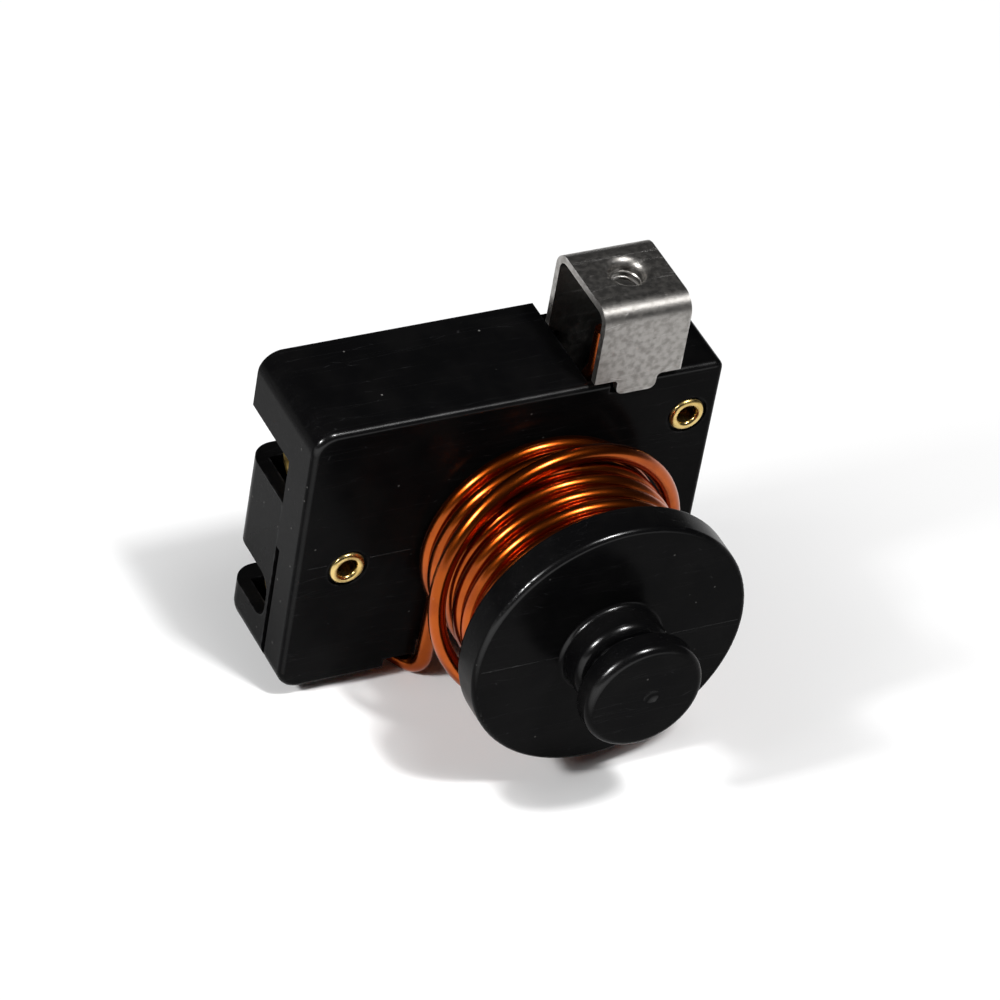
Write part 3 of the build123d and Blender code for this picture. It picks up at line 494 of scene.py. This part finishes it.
FINISHES: dict[str, Finish] = {
    "black_moulding": Finish(
        colour=(0.0024, 0.0024, 0.0026),
        second_colour=(0.0038, 0.0037, 0.0038),
        roughness=(0.19, 0.25),
        specular=0.46,
        slanted_specular=0.022,
        wear_colour=(0.06, 0.06, 0.062),
        wear=0.25,
        scratches=0.2,
        dust=0.35,
        bump=0.00001,
        wave_scale=110.0,
    ),
    "black_cover": Finish(
        colour=(0.0036, 0.0036, 0.0038),
        second_colour=(0.0056, 0.0055, 0.0056),
        roughness=(0.22, 0.32),
        specular=0.4,
        slanted_specular=0.02,
        wear_colour=(0.06, 0.06, 0.062),
        wear=0.5,
        scratches=0.18,
        dust=0.35,
        bump=0.000014,
    ),
    "copper_wire": Finish(
        colour=(0.4, 0.078, 0.0065),
        second_colour=(0.32, 0.057, 0.005),
        metallic=1.0,
        roughness=(0.22, 0.26),
        coat=0.2,
        wear_colour=(0.8, 0.36, 0.14),
        wear=0.1,
        scratches=0.08,
        dust=0.12,
        bump=0.000003,
        wave_scale=160.0,
    ),
    "plated_sheet": Finish(
        colour=(0.35, 0.337, 0.32),
        second_colour=(0.26, 0.249, 0.234),
        metallic=1.0,
        roughness=(0.34, 0.46),
        wear_colour=(0.72, 0.71, 0.7),
        wear=0.6,
        scratches=0.5,
        dust=0.8,
        dust_colour=(0.05, 0.042, 0.035),
        # Painted shade in its narrow places, at half strength
        painted_crevice_shade=0.5,
        bump=0.000012,
        wave_scale=700.0,
        grain_scale=6400.0,
    ),
    "rivet_brass": Finish(
        colour=(0.74, 0.55, 0.22),
        second_colour=(0.62, 0.44, 0.15),
        metallic=1.0,
        roughness=(0.2, 0.32),
        wear_colour=(0.9, 0.75, 0.4),
        wear=0.3,
        scratches=0.2,
        dust=0.2,
        # Painted shade, nearly black, in the bores
        painted_crevice_shade=0.95,
        wave_scale=300.0,
    ),
    "contact_brass": Finish(
        colour=(0.72, 0.52, 0.2),
        second_colour=(0.6, 0.41, 0.14),
        metallic=1.0,
        roughness=(0.28, 0.4),
        wear_colour=(0.85, 0.68, 0.35),
    ),
    "receptacle_brass": Finish(
        colour=(0.78, 0.54, 0.16),
        second_colour=(0.66, 0.43, 0.12),
        metallic=1.0,
        roughness=(0.25, 0.38),
        wear_colour=(0.9, 0.7, 0.35),
    ),
    "rod_brass": Finish(
        colour=(0.72, 0.54, 0.24),
        second_colour=(0.62, 0.45, 0.18),
        metallic=1.0,
        roughness=(0.22, 0.34),
        wear_colour=(0.85, 0.7, 0.4),
    ),
    "silver_contact": Finish(
        colour=(0.82, 0.81, 0.78),
        second_colour=(0.7, 0.68, 0.64),
        metallic=1.0,
        roughness=(0.22, 0.4),
        wear_colour=(0.9, 0.9, 0.88),
    ),
    "bridge_copper": Finish(
        colour=(0.7, 0.34, 0.17),
        second_colour=(0.56, 0.24, 0.11),
        metallic=1.0,
        roughness=(0.28, 0.42),
        wear_colour=(0.85, 0.5, 0.3),
    ),
    "pale_insulator": Finish(
        colour=(0.62, 0.58, 0.47),
        second_colour=(0.54, 0.5, 0.4),
        roughness=(0.45, 0.6),
        wear_colour=(0.75, 0.72, 0.62),
    ),
    "spring_steel": Finish(
        colour=(0.52, 0.52, 0.53),
        second_colour=(0.42, 0.42, 0.43),
        metallic=1.0,
        roughness=(0.2, 0.34),
        wear_colour=(0.75, 0.75, 0.75),
    ),
    "plunger_iron": Finish(
        colour=(0.32, 0.31, 0.3),
        second_colour=(0.24, 0.22, 0.21),
        metallic=1.0,
        roughness=(0.34, 0.5),
        wear_colour=(0.6, 0.6, 0.6),
    ),
    "guide_steel": Finish(
        colour=(0.5, 0.5, 0.52),
        second_colour=(0.42, 0.42, 0.45),
        metallic=1.0,
        roughness=(0.3, 0.42),
        wear_colour=(0.7, 0.7, 0.7),
    ),
    "cushion": Finish(
        colour=(0.03, 0.026, 0.023),
        second_colour=(0.05, 0.043, 0.038),
        roughness=(0.75, 0.9),
        wear_colour=(0.1, 0.09, 0.08),
        bump=0.00003,
    ),
}


@dataclass
class Wardrobe:
    """Gives each piece the material of its slot, and builds each material once."""

    effects: Effects
    made: dict[str, bpy.types.Material] = field(default_factory=dict)

    def dress(self, piece: bpy.types.Object, slot: str) -> None:
        """Puts a slot's material on a piece.

        Args:
            piece: The piece.
            slot: The record's material slot.
        """
        if slot not in self.made:
            self.made[slot] = FINISHES[slot].material(slot, self.effects)
        piece.data.materials.clear()
        piece.data.materials.append(self.made[slot])


def smooth_by_angle(piece: bpy.types.Object, degrees: float) -> None:
    """Shades a mesh smooth, with its sharper edges kept.

    Args:
        piece: The mesh object.
        degrees: Edges that turn more than this stay sharp.
    """
    piece.data.shade_smooth()
    piece.data.set_sharp_from_angle(angle=math.radians(degrees))


def live_smoothing(degrees: float) -> bpy.types.NodeTree:
    """Shades smooth by angle as a modifier, for meshes whose own data stays as it is.

    Args:
        degrees: Edges that turn more than this stay sharp.

    Returns:
        The geometry node group.
    """
    tree = bpy.data.node_groups.new("smooth_by_angle", "GeometryNodeTree")
    tree.interface.new_socket(name="Geometry", in_out="INPUT", socket_type="NodeSocketGeometry")
    tree.interface.new_socket(name="Geometry", in_out="OUTPUT", socket_type="NodeSocketGeometry")
    sketch = Sketch(tree)
    turned = sketch.add("GeometryNodeInputMeshEdgeAngle").outputs["Unsigned Angle"]
    gentle = sketch.math("LESS_THAN", turned, math.radians(degrees))
    faces = sketch.add("GeometryNodeSetShadeSmooth", domain="FACE")
    sketch.feed(faces.inputs["Geometry"], sketch.add("NodeGroupInput").outputs["Geometry"])
    edges = sketch.add("GeometryNodeSetShadeSmooth", domain="EDGE")
    sketch.feed(edges.inputs["Geometry"], faces.outputs["Geometry"])
    sketch.feed(edges.inputs["Shade Smooth"], gentle)
    sketch.feed(sketch.add("NodeGroupOutput").inputs["Geometry"], edges.outputs["Geometry"])
    return tree


def dress_cad_nodes(wardrobe: Wardrobe) -> None:
    """Gives every CAD node its material, joined vertices and smooth shading.

    Args:
        wardrobe: Where the materials come from.
    """
    slots = {entry["node"]: entry["material_slot"] for entry in frame["record"]["subparts"]}
    crews = frame["record"]["behaviour"]["bodies"]
    bodies = {node: Body(crew) for crew, nodes in crews.items() for node in nodes}
    smoothing = live_smoothing(SMOOTH_DEGREES)
    for name, node in frame["nodes"].items():
        wardrobe.dress(node, slots[name])
        weld = node.modifiers.new("weld", "WELD")
        weld.merge_threshold = WELD_REACH
        shading = node.modifiers.new("shading", "NODES")
        shading.node_group = smoothing
        even = node.modifiers.new("even", "WEIGHTED_NORMAL")
        even.keep_sharp = True
        log.info("dressed %s, which moves with the %s, as %s", name, bodies[name].value, slots[name])


# Pieces that only the looks have


@dataclass
class LooksPiece:
    """A mesh built by one of the makers below."""

    name: str
    body: Body
    slot: str
    mesh: bmesh.types.BMesh
    sharp_degrees: float = 40.0
    stands_for: Optional[str] = None

    def place(self, wardrobe: Wardrobe) -> bpy.types.Object:
        """Turns the mesh into an object that rides on its body.

        Args:
            wardrobe: Where its material comes from.

        Returns:
            The new object.
        """
        data = bpy.data.meshes.new(self.name)
        self.mesh.to_mesh(data)
        self.mesh.free()
        piece = bpy.data.objects.new(self.name, data)
        bpy.context.scene.collection.objects.link(piece)
        smooth_by_angle(piece, self.sharp_degrees)
        wardrobe.dress(piece, self.slot)
        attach(piece, self.body.value)
        if self.stands_for:
            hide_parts(self.stands_for)
        log.info("placed %s on %s, %d faces", self.name, self.body.value, len(data.polygons))
        return piece


def tube_along(points: list[Vector], radius: float, sides: int) -> bmesh.types.BMesh:
    """Builds a closed tube of round section along a smooth row of points.

    Args:
        points: The centre line, in metres.
        radius: The tube's radius, in metres.
        sides: Number of sides of its section.

    Returns:
        The mesh.
    """
    mesh = bmesh.new()
    across = (points[1] - points[0]).orthogonal().normalized()
    rings = []
    for index, point in enumerate(points):
        ahead = points[min(index + 1, len(points) - 1)]
        behind = points[max(index - 1, 0)]
        along = (ahead - behind).normalized()
        across = (across - along * across.dot(along)).normalized()
        other = along.cross(across)
        ring = []
        for side in range(sides):
            angle = 2 * math.pi * side / sides
            offset = across * math.cos(angle) + other * math.sin(angle)
            ring.append(mesh.verts.new(point + offset * radius))
        rings.append(ring)
    for first, second in zip(rings, rings[1:]):
        for side in range(sides):
            following = (side + 1) % sides
            mesh.faces.new((first[side], first[following], second[following], second[side]))
    mesh.faces.new(tuple(reversed(rings[0])))
    mesh.faces.new(tuple(rings[-1]))
    return mesh


def rounded_path(corners: list[Vector], bend: float, step_degrees: float = 9.0) -> list[Vector]:
    """Walks along straight runs that are joined by arcs.

    Args:
        corners: Ends and corners of the path.
        bend: Radius of the arcs.
        step_degrees: How far an arc turns between two points.

    Returns:
        Points of the path.
    """
    points = [corners[0]]
    for before, corner, after in zip(corners, corners[1:], corners[2:]):
        back = (before - corner).normalized()
        onward = (after - corner).normalized()
        half = back.angle(onward) / 2
        turn = math.pi - 2 * half
        centre = corner + (back + onward).normalized() * (bend / math.sin(half))
        first = corner + back * (bend / math.tan(half)) - centre
        last = corner + onward * (bend / math.tan(half)) - centre
        steps = max(2, math.ceil(math.degrees(turn) / step_degrees))
        for step in range(steps + 1):
            angle = turn * step / steps
            spoke = first * math.sin(turn - angle) + last * math.sin(angle)
            points.append(centre + spoke / math.sin(turn))
    points.append(corners[-1])
    return points


def eased(share: float) -> float:
    """Makes a move start and stop gently.

    Args:
        share: How much of the move's time has passed.

    Returns:
        How much of the move is done, between 0 and 1.
    """
    held = min(max(share, 0.0), 1.0)
    return held * held * (3 - 2 * held)


@dataclass(frozen=True)
class CoilWire:
    """The coil's wire: lower lead, inner turns, crossing turn and upper lead.

    Attributes:
        step_degrees: How far a turn goes between two rings of the tube.
        sides: Number of sides of the wire's section.
    """

    step_degrees: float = 4.0
    sides: int = 32

    def on_coil(self, turned: float, radius: float, y: float) -> Vector:
        """Finds a place around the coil's axis.

        Args:
            turned: Degrees; 0 is on the right, 90 at the top.
            radius: Distance from the axis.
            y: Place along the axis.

        Returns:
            The place in metres.
        """
        angle = math.radians(turned)
        return millimetres(COIL_X + radius * math.cos(angle), y, COIL_Z + radius * math.sin(angle))

    def inner_turns(self) -> list[Vector]:
        """Finds points of the even turns on the core.

        Returns:
            The points, from the plate to the flange.
        """
        steps = round(INNER_DEGREES / self.step_degrees)
        points = []
        for step in range(steps + 1):
            share = step / steps
            y = FIRST_TURN_Y + (LAST_TURN_Y - FIRST_TURN_Y) * share
            points.append(self.on_coil(START_ANGLE - INNER_DEGREES * share, INNER_TURN_RADIUS, y))
        return points

    def crossing(self) -> list[Vector]:
        """Finds points of the last turn, which climbs onto the others and runs back over them.

        Returns:
            The points, without the first one.
        """
        steps = round(CROSSING_DEGREES / self.step_degrees)
        points = []
        for step in range(1, steps + 1):
            share = step / steps
            climb = (OUTER_TURN_RADIUS - INNER_TURN_RADIUS) * eased(share / CLIMB_SHARE)
            bulge = BULGE * math.sin(math.pi * min(share / BULGE_SHARE, 1.0)) ** 2
            if share < QUICK_SHARE:
                travel = share**2 / QUICK_SHARE
            else:
                travel = 1 - (1 - share) ** 2 / (1 - QUICK_SHARE)
            y = LAST_TURN_Y + (OUTER_END_Y - LAST_TURN_Y) * travel
            turned = START_ANGLE - INNER_DEGREES - CROSSING_DEGREES * share
            points.append(self.on_coil(turned, INNER_TURN_RADIUS + climb + bulge, y))
        return points

    def lower_lead(self) -> list[Vector]:
        """Finds points of the lead that goes down in front of the plate and up to the run socket.

        Returns:
            The points, from the socket to the first turn.
        """
        start = self.on_coil(START_ANGLE, INNER_TURN_RADIUS, FIRST_TURN_Y)
        angle = math.radians(START_ANGLE)
        corners = [
            millimetres(RUN_LEAD_X, 0.0, RUN_LEAD_TOP),
            millimetres(RUN_LEAD_X, 0.0, RUN_LEAD_TURN),
            millimetres(RUN_LEAD_X + LEAD_SLANT, LEAD_PASSAGE_Y, LEAD_BOTTOM),
            millimetres(LEAD_FRONT_X, FIRST_TURN_Y, LEAD_BOTTOM),
            start - Vector((math.sin(angle), 0.0, -math.cos(angle))) * LEAD_FIRST_RUN * MM,
            start,
        ]
        return rounded_path(corners, LEAD_BEND * MM)[:-1]

    def upper_lead(self) -> list[Vector]:
        """Finds points of the lead that goes through the plate and up inside the bracket.

        Returns:
            The points, without the first one.
        """
        turned = START_ANGLE - INNER_DEGREES - CROSSING_DEGREES
        leave = self.on_coil(turned, OUTER_TURN_RADIUS, OUTER_END_Y)
        angle = math.radians(turned)
        run = Vector((math.sin(angle), 0.0, -math.cos(angle))) * UPPER_LEAD_RUN * MM
        hole = (leave + run) / MM
        corners = [
            leave,
            leave + run,
            millimetres(hole.x, UPPER_LEAD_Y, hole.z),
            millimetres(hole.x, UPPER_LEAD_Y, UPPER_LEAD_TURN),
            millimetres(UPPER_LEAD_X, UPPER_LEAD_Y, UPPER_LEAD_TURN + UPPER_LEAD_SLANT),
            millimetres(UPPER_LEAD_X, UPPER_LEAD_Y, UPPER_LEAD_LEG[0]),
            millimetres(UPPER_LEAD_X, UPPER_LEAD_LEG_Y, UPPER_LEAD_LEG[1]),
            millimetres(UPPER_LEAD_X, UPPER_LEAD_LEG_Y, UPPER_LEAD_TOP),
        ]
        return rounded_path(corners, UPPER_LEAD_BEND * MM)[1:]

    def build(self) -> LooksPiece:
        """Builds the wire as one smooth tube.

        Returns:
            The piece that stands for the CAD winding.
        """
        points = self.lower_lead() + self.inner_turns() + self.crossing() + self.upper_lead()
        mesh = tube_along(points, WIRE_RADIUS * MM, self.sides)
        return LooksPiece("coil_wire", Body.HOUSING, "copper_wire", mesh, stands_for="coil_winding")


def collar_thread() -> LooksPiece:
    """The tapped thread inside the bracket's drawn collar.

    Returns:
        The piece, a wire-like ridge on the wall of the hole.
    """
    pitch = 0.7
    ridge = 0.16
    sunk = 0.02
    low = BRACKET_TOP - SCREW_COLLAR_LENGTH + ridge
    turns = (SCREW_COLLAR_LENGTH - SCREW_MOUTH_RADIUS - ridge) / pitch
    radius = SCREW_HOLE_RADIUS + sunk
    steps = 220
    points = []
    for step in range(steps + 1):
        angle = 2 * math.pi * turns * step / steps
        x = SCREW_X + radius * math.cos(angle)
        y = SCREW_Y + radius * math.sin(angle)
        points.append(millimetres(x, y, low + pitch * turns * step / steps))
    mesh = tube_along(points, ridge * MM, 8)
    return LooksPiece("collar_thread", Body.HOUSING, "plated_sheet", mesh)


def mould_lines() -> LooksPiece:
    """The flash lines that the mould left on the front plate and on the flange.

    Returns:
        The piece, four low rounded ridges in the plane of the mould's halves.
    """
    ridge = 0.045 * MM
    plate_z = COIL_Z - 0.1
    rivet_gap = (3.4, 8.1)
    plate_ends = (1.2, COIL_X - 13.2)
    flange_reach = (BOSS_ROOT_RADIUS + 0.5, FLANGE_RADIUS - 0.7)
    runs = (
        (plate_ends[0], rivet_gap[0], FRONT, plate_z),
        (rivet_gap[1], plate_ends[1], FRONT, plate_z),
        (COIL_X - flange_reach[1], COIL_X - flange_reach[0], FLANGE_FRONT, COIL_Z),
        (COIL_X + flange_reach[0], COIL_X + flange_reach[1], FLANGE_FRONT, COIL_Z),
    )
    mesh = bmesh.new()
    for left, right, y, z in runs:
        steps = 20
        points = [millimetres(left + (right - left) * step / steps, y, z) for step in range(steps + 1)]
        run = tube_along(points, ridge, 8)
        data = bpy.data.meshes.new("mould_line_run")
        run.to_mesh(data)
        run.free()
        mesh.from_mesh(data)
        bpy.data.meshes.remove(data)
    return LooksPiece("mould_lines", Body.HOUSING, "black_moulding", mesh)


# Stage, lamps and camera


@dataclass(frozen=True)
class Lamp:
    """A soft rectangular lamp that looks at the relay.

    Attributes:
        name: Its name.
        azimuth: Degrees round the relay; 0 is in front, 90 on the right.
        elevation: Degrees above the floor.
        distance: Metres from the relay.
        size: Width and height, in metres.
        power: In watts.
    """

    name: str
    azimuth: float
    elevation: float
    distance: float
    size: tuple[float, float]
    power: float

    def hang(self, target: Vector) -> None:
        """Adds the lamp to the scene.

        Args:
            target: What it points at.
        """
        light = bpy.data.lights.new(self.name, "AREA")
        light.shape = "RECTANGLE"
        light.size, light.size_y = self.size
        light.energy = self.power
        lamp = bpy.data.objects.new(self.name, light)
        bpy.context.scene.collection.objects.link(lamp)
        azimuth = math.radians(self.azimuth)
        elevation = math.radians(self.elevation)
        flat = math.cos(elevation)
        away = Vector((flat * math.sin(azimuth), -flat * math.cos(azimuth), math.sin(elevation)))
        lamp.location = target + away * self.distance
        lamp.rotation_euler = (-away).to_track_quat("-Z", "Y").to_euler()
        log.info("hung lamp %s", self.name)


LAMP_TARGET = millimetres(22.0, -12.0, 4.0)

# Two windows, each with a brighter middle
LAMPS = (
    Lamp("left_window", azimuth=-85, elevation=36, distance=0.9, size=(0.5, 0.24), power=2.2),
    Lamp("left_window_middle", azimuth=-85, elevation=36, distance=0.88, size=(0.12, 0.09), power=4.8),
    Lamp("overhead_window", azimuth=28, elevation=68, distance=0.9, size=(0.24, 0.5), power=2.2),
    Lamp("overhead_window_middle", azimuth=28, elevation=68, distance=0.88, size=(0.09, 0.12), power=4.8),
)


@dataclass(frozen=True)
class Studio:
    """The floor, the pale surroundings and the camera of the photograph.

    Attributes:
        floor_height: Height of the floor, in metres.
        floor_size: Length of its side, in metres.
        floor_white: How much of the far floor's look is a white of its own, so that its shadows fade out.
        horizon: Grey of the surroundings near the horizon.
        overhead: Grey of the surroundings overhead.
        camera_place: Where the camera stands, in millimetres.
        camera_turn: Its rotation, in degrees.
        lens: Its focal length for a sensor 36 mm wide.
    """

    floor_height: float = -16.95 * MM
    floor_size: float = 12.0
    floor_white: float = 0.8
    horizon: tuple[float, float, float] = (0.12, 0.12, 0.12)
    overhead: tuple[float, float, float] = (0.02, 0.02, 0.021)
    camera_place: tuple[float, float, float] = (-213.363, -383.889, 374.334)
    camera_turn: tuple[float, float, float] = (49.736, -8.044, -25.225)
    lens: float = 208.8

    def lay_floor(self) -> None:
        """Adds the plain pale floor."""
        mesh = bmesh.new()
        bmesh.ops.create_grid(mesh, x_segments=1, y_segments=1, size=self.floor_size / 2)
        data = bpy.data.meshes.new("floor")
        mesh.to_mesh(data)
        mesh.free()
        floor = bpy.data.objects.new("floor", data)
        bpy.context.scene.collection.objects.link(floor)
        floor.location = (LAMP_TARGET.x, LAMP_TARGET.y, self.floor_height)
        floor.data.materials.append(self.floor_material())

    def floor_material(self) -> bpy.types.Material:
        """Builds the floor's material: matte, and away from the relay partly a white of its own.

        Returns:
            The new material.
        """
        material = bpy.data.materials.new("floor")
        material.use_nodes = True
        material.node_tree.nodes.clear()
        sketch = Sketch(material.node_tree)
        matte = sketch.add("ShaderNodeBsdfDiffuse")
        matte.inputs["Color"].default_value = (0.93, 0.93, 0.93, 1.0)
        white = sketch.add("ShaderNodeEmission")
        rays = sketch.add("ShaderNodeLightPath").outputs
        mirrored = sketch.math("MAXIMUM", rays["Is Glossy Ray"], rays["Is Transmission Ray"])
        seen = sketch.math("MAXIMUM", rays["Is Camera Ray"], mirrored)
        reach = sketch.add("ShaderNodeVectorMath", operation="LENGTH")
        sketch.feed(reach.inputs[0], sketch.add("ShaderNodeTexCoord").outputs["Object"])
        far = sketch.math("MULTIPLY", sketch.ramp(reach.outputs["Value"], 0.02, 0.07), self.floor_white)
        both = sketch.add("ShaderNodeMixShader")
        sketch.feed(both.inputs["Fac"], sketch.math("MULTIPLY", seen, far))
        sketch.feed(both.inputs[1], matte.outputs["BSDF"])
        sketch.feed(both.inputs[2], white.outputs["Emission"])
        output = sketch.add("ShaderNodeOutputMaterial")
        sketch.feed(output.inputs["Surface"], both.outputs["Shader"])
        return material

    def light_world(self) -> None:
        """Lights the surroundings: pale near the horizon, dim overhead."""
        world = bpy.data.worlds.new("studio")
        bpy.context.scene.world = world
        world.use_nodes = True
        world.node_tree.nodes.clear()
        sketch = Sketch(world.node_tree)
        background = sketch.add("ShaderNodeBackground")
        output = sketch.add("ShaderNodeOutputWorld")
        sketch.feed(output.inputs["Surface"], background.outputs["Background"])
        direction = sketch.add("ShaderNodeSeparateXYZ")
        sketch.feed(direction.inputs[0], sketch.add("ShaderNodeTexCoord").outputs["Generated"])
        height = sketch.ramp(direction.outputs["Z"], 0.02, 0.35)
        shade = sketch.mix_colour(height, (*self.horizon, 1.0), (*self.overhead, 1.0))
        sketch.feed(background.inputs["Color"], shade)
        background.inputs["Strength"].default_value = 1.0

    def stand_camera(self) -> None:
        """Stands the camera where the photograph was taken from."""
        data = bpy.data.cameras.new("photo_camera")
        data.sensor_width = 36.0
        data.lens = self.lens
        data.clip_start = 0.01
        camera = bpy.data.objects.new("photo_camera", data)
        camera.location = millimetres(*self.camera_place)
        camera.rotation_euler = Euler([math.radians(angle) for angle in self.camera_turn])
        bpy.context.scene.collection.objects.link(camera)
        bpy.context.scene.camera = camera

    def build(self) -> None:
        """Builds the floor, the surroundings, the lamps and the camera."""
        self.lay_floor()
        self.light_world()
        for lamp in LAMPS:
            lamp.hang(LAMP_TARGET)
        self.stand_camera()
        bpy.context.scene.view_settings.view_transform = "Standard"


def main() -> None:
    """Dresses the CAD nodes, adds the fine pieces and sets the studio."""
    wardrobe = Wardrobe(Effects.build())
    dress_cad_nodes(wardrobe)
    for make in (CoilWire().build, collar_thread, mould_lines):
        make().place(wardrobe)
    Studio().build()


if __name__ == "__main__":
    main()
